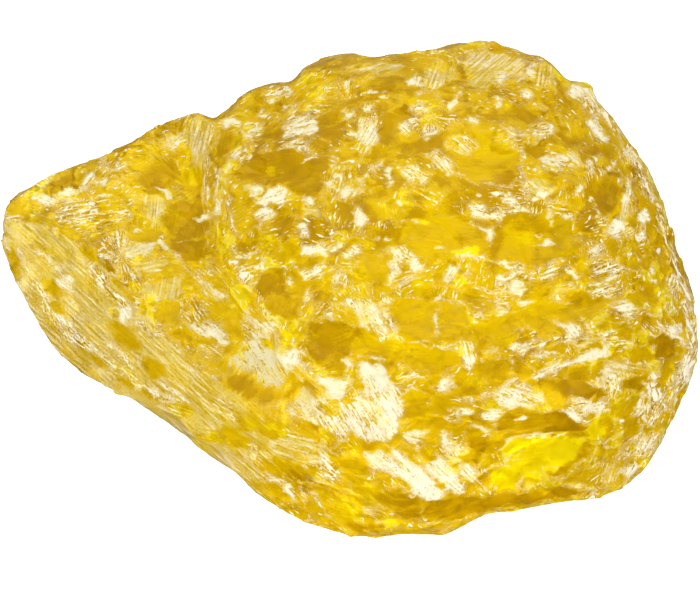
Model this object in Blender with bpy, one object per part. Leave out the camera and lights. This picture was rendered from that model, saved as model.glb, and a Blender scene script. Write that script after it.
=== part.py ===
"""A raw topaz: one rough stone of clear golden crystal, broken all over in shells and ledges.

It lies on a flat break. Its shape is worked out in a viewing frame, where u runs right, v up and
w towards the eye of someone who looks down on its broken front, and is then stood on the floor.
Rays fan out from a line inside the stone, and the surface is how far each one reaches: a rounded
body inside the outline, cut by flat break faces, then by shell-shaped hollows, large to small.
"""

import math
import random

import bmesh
import bpy
import numpy as np

MM = 0.001

# Driving dimensions
LENGTH = 45.0 * MM
EYE_ELEVATION = math.radians(40.0)
FRONT_DEPTH = 13.5 * MM
BACK_DEPTH = 14.5 * MM
BASE_DROP = 11.4 * MM
BODY_SQUARENESS = 2.5
SPINE_MM = ((-13.0, 2.5, 0.0), (8.0, -0.5, 0.0))
EDGE_ROUNDING = 0.10 * MM
WEAR_PASSES = 2

# Mesh fineness, and how often the search along a ray halves its range
SPHERE_LEVEL = 8
TRIANGLES = 9600
HALVINGS = 24

# The outline from the front, in mm from the stone's middle, anticlockwise from its right end
OUTLINE_MM = (
    (21.2, -2.9), (20.8, 0.6), (19.8, 3.5), (19.0, 6.1), (18.1, 8.3), (16.9, 9.9), (15.7, 11.8),
    (14.7, 12.9), (14.2, 14.0), (12.8, 14.2), (11.9, 15.4), (10.4, 15.8), (9.2, 16.3), (7.1, 16.8),
    (5.5, 16.4), (3.9, 16.1), (1.9, 15.9), (-0.1, 15.6), (-1.0, 15.9), (-2.6, 15.7), (-4.2, 15.1),
    (-4.9, 14.1), (-5.9, 14.1), (-7.5, 13.6), (-8.9, 12.6), (-10.1, 11.6), (-11.0, 12.1),
    (-12.3, 11.8), (-13.6, 11.3), (-15.2, 10.2), (-17.2, 9.3), (-19.1, 8.6), (-20.7, 8.0),
    (-22.2, 7.1), (-23.5, 6.0), (-23.8, 4.8), (-23.6, 2.9), (-23.0, 1.2), (-22.0, -0.5),
    (-20.5, -3.1), (-18.8, -4.6), (-17.2, -5.5), (-15.3, -6.4), (-13.3, -7.8), (-11.7, -8.9),
    (-10.3, -10.1), (-8.7, -11.1), (-7.5, -12.3), (-6.5, -13.1), (-4.5, -14.0), (-2.6, -14.9),
    (-0.8, -15.3), (1.9, -15.2), (4.5, -15.1), (6.0, -14.6), (7.8, -13.7), (10.4, -13.3),
    (12.9, -13.0), (14.9, -12.8), (16.7, -12.0), (17.8, -11.0), (18.5, -9.7), (19.3, -8.4),
    (20.2, -6.5), (20.9, -5.2),
)

# Flat break faces: a point on each in mm, the direction it faces in the front view, and its
# lean from the eye, both in degrees. A lean over 90 faces away.
BREAK_FACES = {
    "lower_left_side": ((-14.3, -1.0, 6.6), 205, 43),
    "lower_left_foot": ((-7.1, -7.1, 9.6), 243, 57),
    "low_front": ((4.0, -8.5, 10.6), 262, 27),
    "bottom_front": ((1.5, -12.6, 8.0), 266, 52),
    "bottom_right": ((12.0, -10.0, 7.0), 290, 50),
    "right_low": ((17.2, -5.4, 6.2), 330, 54),
    "right_high": ((16.6, 5.0, 6.0), 18, 54),
    "right_front": ((12.0, 0.0, 9.8), 5, 22),
    "middle_front": ((0.0, -2.0, 12.4), 70, 6),
    "upper_front": ((1.0, 7.0, 10.6), 92, 25),
    "top_edge": ((6.0, 14.0, 5.8), 84, 60),
    "top_left": ((-5.5, 11.6, 6.2), 116, 50),
    "top_right": ((11.6, 11.8, 5.6), 50, 52),
    "back_top": ((4.0, 13.0, -8.4), 86, 118),
    "back_upper": ((3.0, 5.0, -13.5), 80, 160),
    "back_right": ((15.0, 0.0, -8.6), 358, 136),
    "back_low_right": ((13.0, -6.0, -8.4), 318, 132),
    "back_left": ((-9.0, 2.0, -8.8), 172, 152),
    "back_left_tip": ((-18.0, 3.0, -5.2), 186, 140),
    "under_left": ((-10.0, -6.4, -5.4), 232, 128),
}

# Smooth faces, where the unnamed breaks are faint and run along the ridge above them
SMOOTH_FACES = ("lower_left_side", "lower_left_foot")
SMOOTH_TURN = -38
SMOOTH_SHARE = 0.3
SAME_FACE = 0.96

# The left wing stands lower than the main mass, which ends above it in a steep step
WING_FACES = {
    "wing": ((-17.6, 3.0, 5.4), 77, 24),
    "wing_tip": ((-17.6, 3.0, 5.4), 124, 35.5),
}
MASS_FACES = {
    "left_shoulder": ((-8.5, 5.0, 8.6), 165, 28),
    "step_top": ((-9.9, 9.0, 6.4), 158, 58),
    "step_middle": ((-9.3, 5.0, 8.2), 176, 64),
    "step_foot": ((-7.5, 0.8, 9.6), 206, 62),
}

# Shell-shaped hollows seen on the front: middle, length and width in mm, turn in degrees, depth
HOLLOWS = {
    "upper_left": ((-5.6, 8.4), 6.6, 3.2, 4, 0.95),
    "wing_bowl": ((-12.2, 5.0), 5.2, 3.8, 70, 0.75),
    "wing_upper": ((-12.9, 8.7), 3.8, 2.6, 15, 0.45),
    "wing_low": ((-13.4, 1.3), 3.6, 2.6, -30, 0.45),
    "centre": ((5.2, 4.9), 7.4, 3.3, -10, 1.15),
    "right_centre": ((10.9, 4.0), 6.0, 3.1, 8, 0.95),
    "middle_long": ((0.6, -3.4), 10.0, 3.4, -14, 1.05),
    "middle_trough": ((12.0, -0.5), 10.4, 2.3, 10, 0.75),
    "centre_pocket": ((4.0, -0.4), 4.6, 3.2, 0, 0.60),
    "right_trough": ((13.6, -4.6), 8.0, 2.4, 14, 0.65),
    "oval_window": ((11.8, -9.6), 7.4, 3.6, 10, 0.95),
    "small_window": ((8.1, -11.4), 3.0, 2.1, 0, 0.60),
    "low_centre": ((3.6, -6.4), 5.2, 3.6, 62, 0.80),
    "left_middle": ((-6.2, 1.3), 6.2, 3.0, 24, 0.65),
    "left_low": ((-9.6, -0.6), 5.0, 3.2, -38, 0.55),
    "hackle_bowl": ((-6.6, -4.2), 6.2, 4.0, -32, 0.70),
    "hackle_slope": ((-0.6, -7.6), 6.0, 3.4, -48, 0.75),
    "upper_spot": ((-2.8, 11.3), 3.0, 2.4, 0, 0.45),
    "top_shelf": ((6.8, 14.7), 8.6, 2.5, 2, 0.55),
    "upper_right": ((11.2, 11.8), 7.6, 2.6, -6, 0.55),
    "upper_middle": ((6.9, 9.2), 5.4, 2.8, -10, 0.60),
    "right_high": ((14.6, 6.9), 4.6, 3.2, 75, 0.70),
    "right_edge": ((17.6, -1.9), 4.4, 2.5, 80, 0.45),
    "right_corner": ((14.8, -7.6), 3.4, 2.6, 20, 0.40),
    "upper_centre": ((1.0, 9.6), 4.0, 2.6, 20, 0.45),
    "side_tip": ((-20.6, 3.2), 4.8, 3.2, -28, 0.45),
    "side_upper": ((-16.3, -2.3), 7.6, 2.4, -40, 0.40),
    "side_middle": ((-12.0, -6.8), 7.6, 2.0, -38, 0.35),
    "side_low": ((-7.2, -9.8), 6.6, 2.4, -38, 0.40),
    "side_glow": ((-8.9, -7.4), 3.6, 1.2, -38, 0.28),
    "foot_left": ((-2.6, -12.6), 7.0, 2.8, -14, 0.45),
    "foot_right": ((5.6, -13.0), 4.0, 2.0, 8, 0.40),
}

# Breaks too many to name, from large to small: how many, the range of their half-lengths in mm,
# their width as a share of their length, and their depth as a share of the half-length
BREAK_SIZES = (
    (40, 3.0, 4.6, 0.68, 0.15),
    (230, 1.6, 2.8, 0.58, 0.17),
    (480, 0.9, 1.6, 0.52, 0.19),
)
BREAK_TURN = 30
BREAK_TILT = 0.26
DEPTH_RANGE = (0.6, 1.3)
BREAK_SEED = 11

# A ray that closes on a face more slowly than this never meets it, and goes this far
ALONGSIDE = 1e-6
FAR_AWAY = 1.0

# The front has no unnamed break longer than this, and the outline none that would reach it
FRONT_HALF_LENGTH = 2.8 * MM
OUTLINE_ROOM = 0.9

# A hollow's curved floor belongs to an ellipsoid this many times as thick as the hollow is deep.
# What rises this many times its depth above its mouth, such as a step beside it, isn't cut
SHELL_ROUND = 5
SHELL_CLEARS = 1.6
SHELL_MOUTH = math.sqrt(1 - (1 - 1 / SHELL_ROUND) ** 2)

TOPAZ_COLOUR = (0.80, 0.50, 0.02, 1.0)
TOPAZ_IOR = 1.62
TOPAZ_ROUGHNESS = 0.15
TOPAZ_CLARITY = 1.0

DOWN = np.array([0.0, -math.cos(EYE_ELEVATION), -math.sin(EYE_ELEVATION)])


def clear_scene():
    for obj in list(bpy.data.objects):
        bpy.data.objects.remove(obj)


def unit(vectors):
    return vectors / np.linalg.norm(vectors, axis=-1, keepdims=True)


def facing(turn_degrees, lean_degrees):
    """The direction of a face that points along a turn in the front view, leaning from the eye."""
    turn, lean = math.radians(turn_degrees), math.radians(lean_degrees)
    return np.array([math.sin(lean) * math.cos(turn), math.sin(lean) * math.sin(turn), math.cos(lean)])


def reach_of_outline(angle):
    """How far the outline lies from the middle at each angle of the front view."""
    points = np.array(OUTLINE_MM) * MM
    turns = np.arctan2(points[:, 1], points[:, 0])
    return np.interp(angle, turns, np.linalg.norm(points, axis=1), period=2 * math.pi)


def start_of(rays):
    """Where each ray starts, on the line from the spine's left end to its right."""
    left, right = np.array(SPINE_MM) * MM
    share = (rays[:, :1] + 1) / 2
    return left * (1 - share) + right * share


def reach_of_body(starts, rays):
    """How far each ray stays inside the rounded body that the outline bounds, by halving."""
    near, far = np.zeros(len(rays)), np.full(len(rays), LENGTH)
    for _ in range(HALVINGS):
        middle = (near + far) / 2
        u, v, w = (starts + rays * middle[:, None]).T
        side = np.hypot(u, v) / reach_of_outline(np.arctan2(v, u))
        depth = np.where(w > 0, w / FRONT_DEPTH, -w / BACK_DEPTH)
        inside = side**BODY_SQUARENESS + depth**BODY_SQUARENESS < 1
        near, far = np.where(inside, middle, near), np.where(inside, far, middle)
    return far


def reach_of_face(starts, rays, point, normal):
    """How far each ray goes before it meets a flat face."""
    closing = rays @ normal
    meets = ((point - starts) @ normal) / np.maximum(closing, ALONGSIDE)
    return np.where(closing > ALONGSIDE, meets, FAR_AWAY)


def soft_least(first, second):
    """The smaller of two reaches, with the corner between them worn round."""
    blend = np.clip(0.5 + 0.5 * (second - first) / EDGE_ROUNDING, 0, 1)
    return second * (1 - blend) + first * blend - EDGE_ROUNDING * blend * (1 - blend)


def cut_by_faces(starts, rays, reach, faces):
    for point, turn, lean in faces.values():
        face = reach_of_face(starts, rays, np.array(point) * MM, facing(turn, lean))
        reach = soft_least(reach, face)
    return reach


def reach_before_hollows(starts, rays):
    reach = cut_by_faces(starts, rays, reach_of_body(starts, rays), BREAK_FACES)
    wing = cut_by_faces(starts, rays, reach, WING_FACES)
    return np.maximum(wing, cut_by_faces(starts, rays, reach, MASS_FACES))


def cut_shell(starts, rays, reach, point, normal, half_length, half_width, turn_degrees, depth):
    """Cuts one shell-shaped hollow: the part of an ellipsoid that reaches below the surface."""
    turn = math.radians(turn_degrees)
    along = unit(np.cross([-math.sin(turn), math.cos(turn), 0.0], normal))
    across = np.cross(normal, along)
    thickness = depth * SHELL_ROUND
    middle = point + normal * (thickness - depth)
    squeeze = np.array(
        [along * SHELL_MOUTH / half_length, across * SHELL_MOUTH / half_width, normal / thickness]
    )
    start, speed = (starts - middle) @ squeeze.T, rays @ squeeze.T
    a, b, c = (speed**2).sum(1), (start * speed).sum(1), (start**2).sum(1) - 1
    inside = b * b - a * c
    root = np.sqrt(np.maximum(inside, 0))
    near, far = (-b - root) / a, (-b + root) / a
    rise = (starts + rays * reach[:, None] - point) @ normal
    cut = (inside > 0) & (near > 0) & (near < reach) & (far > reach) & (rise < SHELL_CLEARS * depth)
    return np.where(cut, near, reach)


def cut_named_hollows(starts, rays, reach, surface, normals):
    seen = normals[:, 2] > 0
    for (u, v), length, width, turn, depth in HOLLOWS.values():
        off_line = np.hypot(surface[:, 0] - u * MM, surface[:, 1] - v * MM)
        index = np.argmin(np.where(seen, off_line, LENGTH))
        half_length, half_width = length / 2 * MM, width / 2 * MM
        place = (surface[index], normals[index], half_length, half_width, turn, depth * MM)
        reach = cut_shell(starts, rays, reach, *place)
    return reach


def on_smooth_face(normal):
    faces = [facing(*BREAK_FACES[name][1:]) for name in SMOOTH_FACES]
    return max(normal @ face for face in faces) > SAME_FACE


def cut_small_breaks(starts, rays, reach, surface, normals):
    """Scatters the unnamed breaks over the whole stone but its base, largest first."""
    chance = random.Random(BREAK_SEED)
    for count, smallest, largest, narrowness, deepness in BREAK_SIZES:
        for _ in range(count):
            index = chance.randrange(len(surface))
            half_length = chance.uniform(smallest, largest) * MM
            turn = chance.uniform(-BREAK_TURN, BREAK_TURN)
            depth = half_length * deepness * chance.uniform(*DEPTH_RANGE)
            tilt = np.array([chance.uniform(-BREAK_TILT, BREAK_TILT) for _ in range(3)])
            point, normal = surface[index], normals[index]
            if point @ DOWN > BASE_DROP or abs(point[2]) < OUTLINE_ROOM * half_length:
                continue
            if normal[2] > 0 and half_length > FRONT_HALF_LENGTH:
                continue
            if on_smooth_face(normal):
                turn = SMOOTH_TURN
                depth *= SMOOTH_SHARE
                tilt *= SMOOTH_SHARE
            place = (point, unit(normal + tilt), half_length, half_length * narrowness, turn, depth)
            reach = cut_shell(starts, rays, reach, *place)
    return reach


def worn(form, reach):
    """Takes the sharpest spikes off, by moving each point half way to the mean of its neighbours."""
    ends = np.array([[vertex.index for vertex in edge.verts] for edge in form.edges])
    here, there = np.concatenate([ends, ends[:, ::-1]]).T
    neighbours = np.bincount(here)
    for _ in range(WEAR_PASSES):
        reach = (reach + np.bincount(here, weights=reach[there]) / neighbours) / 2
    return reach


def stand_on_floor(points):
    """Turns the viewing frame into the stone's own: +Z up, the eye above and in front, along -Y."""
    sine, cosine = math.sin(EYE_ELEVATION), math.cos(EYE_ELEVATION)
    u, v, w = points.T
    points = np.stack([u, v * sine - w * cosine, v * cosine + w * sine + BASE_DROP], axis=1)
    low, high = points.min(axis=0), points.max(axis=0)
    points -= [(low[0] + high[0]) / 2, (low[1] + high[1]) / 2, 0]
    return points * LENGTH / (high[0] - low[0])


def break_flat_below(mesh):
    """Cuts the stone off at the floor, on the flat break that it lies on."""
    form = bmesh.new()
    form.from_mesh(mesh)
    everything = form.verts[:] + form.edges[:] + form.faces[:]
    cut = bmesh.ops.bisect_plane(
        form, geom=everything, plane_co=(0, 0, 0), plane_no=(0, 0, 1), clear_inner=True
    )
    rim = [part for part in cut["geom_cut"] if isinstance(part, bmesh.types.BMEdge)]
    bmesh.ops.contextual_create(form, geom=rim)
    bmesh.ops.recalc_face_normals(form, faces=form.faces[:])
    form.to_mesh(mesh)
    form.free()


def topaz_material():
    material = bpy.data.materials.new("topaz")
    material.use_nodes = True
    shader = material.node_tree.nodes["Principled BSDF"]
    shader.inputs["Base Color"].default_value = TOPAZ_COLOUR
    shader.inputs["Roughness"].default_value = TOPAZ_ROUGHNESS
    shader.inputs["Metallic"].default_value = 0.0
    shader.inputs["IOR"].default_value = TOPAZ_IOR
    shader.inputs["Transmission Weight"].default_value = TOPAZ_CLARITY
    return material


def make_surface():
    """The whole surface as a fine mesh, before it is thinned out."""
    form = bmesh.new()
    bmesh.ops.create_icosphere(form, subdivisions=SPHERE_LEVEL, radius=1.0)
    rays = unit(np.array([vertex.co for vertex in form.verts]))
    starts = start_of(rays)
    reach = reach_before_hollows(starts, rays)
    surface = starts + rays * reach[:, None]
    for vertex, point in zip(form.verts, surface, strict=True):
        vertex.co = point
    form.normal_update()
    normals = np.array([vertex.normal for vertex in form.verts])
    reach = cut_named_hollows(starts, rays, reach, surface, normals)
    reach = worn(form, cut_small_breaks(starts, rays, reach, surface, normals))
    for vertex, point in zip(form.verts, stand_on_floor(starts + rays * reach[:, None]), strict=True):
        vertex.co = point
    mesh = bpy.data.meshes.new("topaz_stone")
    form.to_mesh(mesh)
    form.free()
    return mesh


def thin_out(stone):
    """Keeps the faces that the shape needs most."""
    modifier = stone.modifiers.new("thin_out", "DECIMATE")
    modifier.ratio = TRIANGLES / len(stone.data.polygons)
    thinned = stone.evaluated_get(bpy.context.evaluated_depsgraph_get())
    stone.data = bpy.data.meshes.new_from_object(thinned)
    stone.modifiers.clear()


def main():
    clear_scene()
    stone = bpy.data.objects.new("topaz_stone", make_surface())
    bpy.context.scene.collection.objects.link(stone)
    thin_out(stone)
    break_flat_below(stone.data)
    stone.data.materials.append(topaz_material())


main()
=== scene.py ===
"""The looks of a raw topaz: its broken surface in full detail, its clear golden crystal, and a studio.

One piece stands for the CAD stone. It is cast from the CAD surface and broken again into flat
faces. On it lie streaky breaks, which look white, partly as frost and partly as painted highlights
and reflections, among calm hollows, which look gold, with painted shade in the deepest and painted
light in the brightest. Those that show best in the photograph are placed one by one. The others,
with all of the hidden sides, are scattered by chance. Lengths are in mm, or in the photograph's
pixels where a comment says so.
"""

import itertools
import math

import bmesh
import bpy
import numpy as np
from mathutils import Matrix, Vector
from mathutils.bvhtree import BVHTree
from mathutils.kdtree import KDTree


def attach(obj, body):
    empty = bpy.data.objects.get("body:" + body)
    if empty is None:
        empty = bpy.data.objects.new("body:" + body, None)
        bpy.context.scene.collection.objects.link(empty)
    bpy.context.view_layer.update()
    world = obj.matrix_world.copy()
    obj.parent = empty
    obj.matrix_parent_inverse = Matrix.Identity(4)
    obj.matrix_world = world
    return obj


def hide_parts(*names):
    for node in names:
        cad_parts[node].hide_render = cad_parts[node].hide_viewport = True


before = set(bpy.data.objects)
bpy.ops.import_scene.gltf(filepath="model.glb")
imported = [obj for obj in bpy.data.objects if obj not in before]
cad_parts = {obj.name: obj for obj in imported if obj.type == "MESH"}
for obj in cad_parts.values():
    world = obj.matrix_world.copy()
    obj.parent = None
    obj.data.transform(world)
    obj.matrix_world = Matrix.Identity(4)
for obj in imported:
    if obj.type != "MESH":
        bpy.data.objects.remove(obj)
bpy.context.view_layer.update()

MM = 0.001

# The photograph: its size and the stone's place in it in pixels, and the eye's height and lens
PHOTO_SIZE = (700, 595)
STONE_SIDES = (2, 697)
STONE_TOP_AND_FOOT = (41, 536)
EYE_ELEVATION = math.radians(40)
LENS = 300.0
SENSOR = 36.0
FIT_ROUNDS = 8
CLIP_METRES = (0.01, 10.0)
# How far light is followed, and how bright its indirect part may get
MOST_BOUNCES = 12
DIFFUSE_BOUNCES = 2
MOST_INDIRECT = 4.0

TO_EYE = np.array([0.0, -math.cos(EYE_ELEVATION), math.sin(EYE_ELEVATION)])
UP_IN_VIEW = np.array([0.0, math.sin(EYE_ELEVATION), math.cos(EYE_ELEVATION)])
ACROSS_VIEW = np.array([1.0, 0.0, 0.0])

# The studio: where each soft light stands, as an azimuth and elevation in degrees, half its width
# as an angle in degrees, and its radiance. Azimuth 0 is the eye's side and 90 the stone's right.
# Some show only mirrored in the stone and the others only through it
MIRRORED_LIGHTS = {
    "key": (0, 75, 7, 1.5),
    "left": (-75, 30, 22, 0.05),
    "right": (75, 30, 22, 0.05),
    "beyond": (180, -35, 35, 0.10),
}
THROUGH_LIGHTS = {
    "sky_behind": (180, 45, 50, 1.4),
    "sky_in_front": (0, 60, 45, 1.0),
}
LIGHT_DISTANCE = 600.0
KEY_LIGHT = "key"
WORLD_LIGHT = 1.2
LIGHT_WHITE = (1.0, 1.0, 1.0, 1.0)
FLOOR_LOOK = {
    "Base Color": (0.5, 0.5, 0.5, 1.0),
    "Roughness": 0.9,
    "Specular IOR Level": 0.0,
    "Emission Color": LIGHT_WHITE,
    "Emission Strength": 1.1,
}
FLOOR_RADIUS = 1500.0
FLOOR_SIDES = 96
FLOOR_GAP = 0.03

# The surface: its points lie where rays from a line inside the stone leave the CAD's. The smoothing
# takes away the CAD's edges, and the broad one tells which points are sunken. The lattice is the
# count of random values along each side of a noise, and the area is in square mm
BALL_LEVEL = 8
SPINE = np.array([(-11.7, 0.7, 13.3), (9.3, -1.2, 11.0)])
OUTSIDE = 100.0
SMOOTH_PASSES = 6
NORMAL_PASSES = 2
BROAD_PASSES = 24
MOST_TRIANGLES = 198000
SHARP_ANGLE = math.radians(30)
LATTICE = 64
STONE_AREA = 3530.0

# Breaks scattered by chance, large then small: how far apart, how much longer than wide, how steep
# they tilt, how deep they are hollowed, and how wavy their borders are
SCATTERED = (
    (1.9, 1.5, 0.08, 0.06, 0.5),
    (0.75, 1.4, 0.10, 0.06, 0.4),
)
SCATTER_SEED = 5
# As shares of how far apart they lie: how far they lift, how wide their borders are, how much they
# move the surface at most, and the size and push of the finer waves in their borders
LIFT = 0.03
BREAK_BORDER = 0.12
MOST_RISE = 0.20
FINE_WAVES = (0.35, 0.3)
# How streaky the surface has to be to be broken, how high over the floor the breaks begin, and how
# much of them is left along the stone's outline, with the slant at which they are whole again
BROKEN = (0.05, 0.45)
OVER_FLOOR = (0.15, 1.2)
RIM_SHARE = 0.4
RIM_SLANT = (0.0, 0.4)

# What shows in the photograph, in its pixels. Each outline begins with its streaks' turn in degrees,
# or with the point that they fan out from, and goes on with its corners, x and y in turn

# Deep hollows in dark gold, painted shade
DARK_OUTLINES = (
    (10, 262, 152, 290, 148, 305, 155, 330, 160, 332, 174, 316, 195, 296, 196, 285, 185, 262, 178, 240, 180,
     232, 175, 240, 162),
    (0, 317, 118, 330, 114, 342, 118, 342, 136, 330, 141, 318, 136),
    (80, 221, 128, 233, 128, 234, 146, 222, 160, 214, 162),
    (75, 165, 212, 180, 200, 205, 206, 210, 225, 200, 238, 180, 240, 168, 235, 162, 222),
    (-20, 170, 241, 205, 240, 212, 255, 198, 262, 182, 258),
    (10, 142, 170, 155, 160, 178, 160, 180, 178, 172, 187, 150, 188, 140, 182),
    (8, 42, 190, 55, 180, 80, 175, 92, 172, 76, 188, 60, 192, 48, 194),
    (-50, 98, 250, 108, 256, 118, 280, 108, 272),
    (70, 258, 285, 266, 270, 285, 266, 286, 290, 299, 300, 297, 318, 270, 318, 262, 300),
    (20, 308, 324, 336, 320, 358, 332, 352, 346, 345, 376, 328, 372, 318, 365, 308, 350),
    (-40, 222, 381, 245, 372, 256, 392, 280, 396, 300, 382, 318, 378, 316, 386, 290, 396, 262, 404, 245, 398),
    (-30, 222, 346, 232, 344, 240, 350, 234, 357, 224, 354),
    (5, 500, 412, 520, 408, 545, 415, 560, 412, 585, 426, 592, 436, 560, 432, 530, 432, 505, 440, 498, 428),
    (-60, 466, 430, 480, 430, 494, 440, 482, 454, 474, 462, 466, 450),
    (-30, 372, 496, 395, 486, 415, 500, 425, 516, 412, 520, 392, 510),
    (12, 428, 502, 462, 498, 500, 496, 560, 490, 600, 490, 560, 499, 500, 508, 440, 522, 425, 520),
    (0, 345, 524, 385, 524, 380, 532, 355, 532),
    (-10, 555, 385, 575, 380, 600, 388, 610, 396, 590, 398, 565, 396),
    (0, 650, 336, 668, 334, 676, 350, 668, 360, 655, 356),
    (0, 618, 378, 650, 376, 648, 392, 625, 390),
    (0, 460, 104, 480, 112, 520, 106, 546, 112, 544, 118, 500, 121, 470, 112),
    (5, 404, 146, 425, 140, 440, 137, 440, 149, 425, 154, 408, 155),
    (0, 502, 212, 525, 214, 545, 220, 546, 232, 515, 232, 500, 226),
    (70, 605, 175, 618, 172, 622, 190, 616, 212, 600, 218, 596, 200),
    (0, 365, 80, 400, 76, 414, 88, 412, 98, 395, 92, 370, 90),
    (85, 493, 228, 502, 226, 502, 246, 494, 252),
    (0, 384, 112, 394, 116, 393, 140, 384, 140),
)
# Smooth hollows in middle gold
CALM_OUTLINES = (
    (-5, 400, 222, 440, 215, 480, 225, 490, 240, 488, 256, 450, 258, 415, 256, 400, 240),
    (0, 505, 235, 560, 232, 585, 245, 570, 258, 530, 264, 500, 262),
    (-10, 356, 263, 389, 261, 387, 272, 372, 281, 356, 279),
    (-10, 320, 324, 400, 340, 440, 350, 438, 364, 400, 362, 350, 352),
    (-65, 400, 398, 412, 388, 428, 395, 430, 425, 412, 428, 404, 420),
    (-20, 325, 452, 362, 456, 374, 474, 350, 478, 332, 466),
    (12, 470, 318, 540, 306, 600, 300, 600, 316, 540, 322, 480, 334),
    (15, 480, 362, 512, 358, 512, 384, 488, 386),
    (0, 620, 416, 638, 416, 640, 434, 624, 438),
    (80, 160, 300, 180, 300, 180, 325, 162, 322),
    (0, 448, 150, 500, 142, 520, 150, 520, 180, 480, 186, 460, 170),
    (10, 392, 300, 430, 300, 432, 340, 405, 344, 395, 325),
    (0, 402, 342, 438, 348, 462, 350, 460, 362, 445, 372, 410, 370),
    (0, 440, 300, 462, 302, 466, 338, 440, 340),
)
# Bright windows, painted light where light comes through the stone
WINDOW_OUTLINES = (
    (5, 500, 450, 510, 440, 530, 436, 560, 434, 585, 440, 580, 452, 566, 466, 550, 475, 525, 478, 512, 468),
    (0, 490, 475, 498, 466, 515, 465, 524, 475, 516, 490, 500, 492, 491, 485),
    (5, 412, 218, 430, 220, 432, 225, 414, 224),
    (0, 452, 250, 478, 246, 482, 256, 456, 258),
)
# Smooth breaks in light gold, painted light
LIT_OUTLINES = (
    (-38, 208, 398, 220, 398, 240, 412, 258, 428, 248, 431, 230, 421, 218, 410),
    (-15, 190, 431, 225, 432, 245, 440, 225, 444, 195, 438),
    (-20, 164, 400, 176, 396, 188, 408, 196, 414, 180, 420, 168, 412),
    (-15, 305, 490, 330, 486, 345, 500, 375, 500, 372, 515, 345, 521, 315, 512),
    (60, 588, 452, 594, 442, 604, 442, 604, 468, 590, 476, 574, 474),
    (-50, 530, 478, 552, 478, 570, 486, 545, 492, 526, 490),
)
# Clearer patches of the pale face
PATCH_OUTLINES = (
    (-42, 107, 326, 118, 320, 132, 332, 140, 342, 139, 354, 122, 344),
    (-35, 142, 360, 162, 362, 166, 376, 155, 378, 143, 368),
    (-30, 80, 346, 100, 358, 118, 366, 100, 366, 84, 352),
    (-30, 120, 378, 140, 382, 160, 394, 158, 400, 140, 394, 120, 384),
    (-15, 222, 424, 240, 428, 250, 446, 232, 444, 222, 434),
    (-30, 40, 280, 55, 282, 62, 292, 50, 294, 42, 290),
    (-80, 11, 246, 18, 262, 18, 276, 10, 272),
    (10, 50, 302, 60, 298, 64, 312, 54, 314),
    (-30, 20, 214, 50, 218, 72, 231, 90, 246, 76, 240, 58, 228, 40, 221, 20, 220),
)
# Smooth breaks under a pale veil, part frost and part painted reflection
VEILED_OUTLINES = (
    (40, 462, 60, 480, 51, 500, 52, 525, 62, 530, 78, 520, 82, 500, 86, 480, 90, 464, 84),
    (70, 421, 68, 440, 61, 460, 64, 460, 80, 445, 86, 425, 92),
    (80, 533, 62, 552, 64, 560, 80, 556, 88, 534, 84),
    (-30, 521, 184, 538, 176, 547, 177, 558, 186, 552, 195, 545, 200, 535, 194, 524, 188),
    (75, 185, 121, 200, 117, 214, 122, 216, 134, 208, 158, 200, 170, 190, 165),
    (85, 140, 196, 164, 194, 166, 208, 160, 234, 152, 228, 142, 206),
    (80, 152, 282, 184, 272, 180, 298, 156, 300, 140, 286),
    (10, 136, 262, 160, 255, 172, 262, 160, 274, 140, 273),
    (0, 300, 206, 318, 205, 318, 216, 302, 216),
    (0, 480, 312, 492, 306, 516, 310, 505, 316, 490, 321, 480, 320),
    (10, 550, 290, 560, 282, 575, 284, 580, 290, 565, 294),
    (-10, 605, 362, 625, 360, 640, 364, 650, 376, 636, 375, 606, 370),
    (70, 604, 462, 620, 462, 628, 470, 618, 482, 606, 484, 601, 476),
    (-15, 268, 440, 300, 432, 325, 445, 330, 462, 300, 466, 275, 455),
    (10, 480, 348, 488, 342, 500, 344, 500, 352, 490, 360, 482, 358),
    (0, 570, 342, 598, 336, 604, 342, 580, 348),
    (15, 340, 66, 375, 60, 405, 62, 400, 72, 360, 72),
)
# Even cream breaks, part frost and part painted highlight
CREAM_OUTLINES = (
    (-40, 56, 284, 66, 276, 76, 290, 64, 292),
    (-60, 121, 308, 128, 311, 130, 322, 121, 317),
    (-15, 319, 373, 335, 377, 354, 382, 346, 394, 340, 400, 330, 400, 322, 388),
    (-15, 400, 432, 412, 429, 428, 429, 432, 432, 422, 442, 417, 450, 404, 444),
    (0, 510, 283, 514, 278, 525, 280, 527, 292, 519, 296, 511, 292),
    (82, 628, 176, 633, 180, 630, 221, 620, 220, 619, 206, 624, 190),
    (20, 124, 251, 138, 243, 156, 241, 155, 250, 140, 256, 128, 256),
    (-30, 506, 131, 513, 124, 520, 125, 517, 132, 511, 138),
    (-60, 567, 81, 578, 82, 588, 90, 584, 98, 578, 99, 570, 90),
    (75, 413, 78, 418, 74, 424, 86, 422, 93, 416, 88),
    (60, 446, 103, 452, 98, 461, 87, 462, 96, 456, 108, 449, 111),
    (10, 243, 184, 262, 182, 267, 190, 256, 198, 244, 196),
    (0, 325, 386, 340, 388, 338, 396, 328, 394),
)
# Golden breaks with fine white grain
GRAINY_OUTLINES = (
    (10, 60, 202, 118, 198, 130, 214, 122, 234, 84, 234, 54, 220),
    (45, 222, 170, 232, 158, 245, 146, 258, 140, 250, 156, 236, 166, 226, 176),
    (60, 340, 186, 352, 182, 362, 192, 350, 202, 338, 200),
    (-40, 196, 268, 212, 268, 224, 290, 222, 298, 205, 296, 195, 284),
    (75, 322, 176, 340, 164, 346, 172, 336, 196, 326, 196),
    (-10, 545, 202, 560, 200, 580, 210, 580, 220, 560, 218, 548, 212),
    (0, 300, 108, 320, 96, 340, 100, 334, 112, 310, 116),
)
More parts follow.
